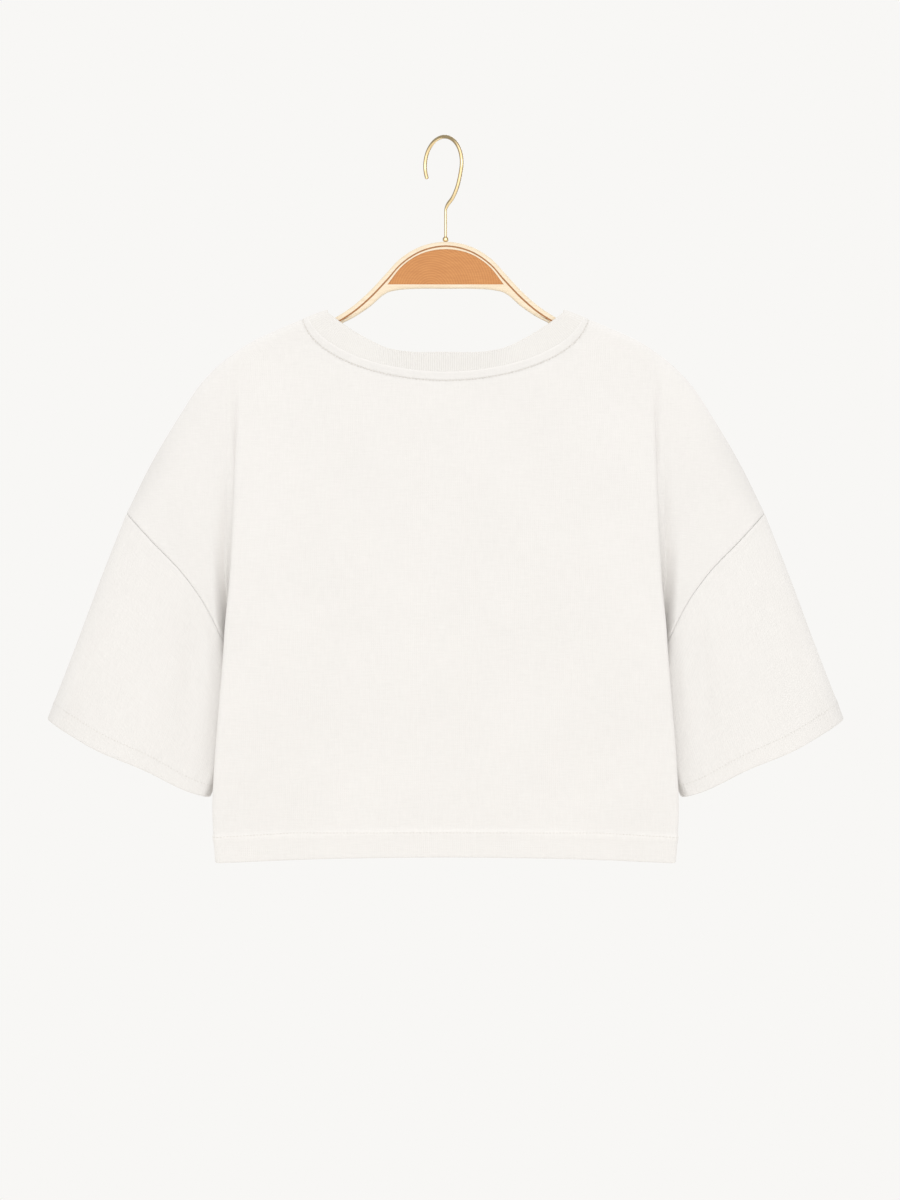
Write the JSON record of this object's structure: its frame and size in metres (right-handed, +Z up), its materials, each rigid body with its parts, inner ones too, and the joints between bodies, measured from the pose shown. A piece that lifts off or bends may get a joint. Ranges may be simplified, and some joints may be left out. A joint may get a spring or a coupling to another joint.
{
  "type": "crop top on a hanger",
  "caption": "Short boxy knit top with dropped shoulders, wide sleeves and a ribbed round neck, hanging on a laminated wooden hanger with a wire hook.",
  "frame": {"origin": "inner top of the hook's eye, where the hanger hangs on a rail", "axes": "+Z up, +X across the shoulders, the wearer's back faces -Y and the front +Y"},
  "size_m": [0.7438, 0.075, 0.6777],
  "materials": {
    "jersey": "off-white cotton jersey, matt, with a fine uneven yarn",
    "rib_knit": "off-white one-by-one rib knit, matt",
    "pale_laminate": "pale bent laminate with a dark glue line, clear satin lacquer",
    "orange_wood": "orange-brown solid wood with open growth rings, satin lacquer",
    "brass_wire": "pale gold plated steel wire, bright"
  },
  "bodies": {
    "root": {"back_panel": "jersey", "front_panel": "jersey", "left_sleeve": "jersey", "right_sleeve": "jersey", "neck_rib": "rib_knit", "hanger_frame": "pale_laminate", "hanger_infill": "orange_wood", "hook": "brass_wire"}
  },
  "joints": []
}
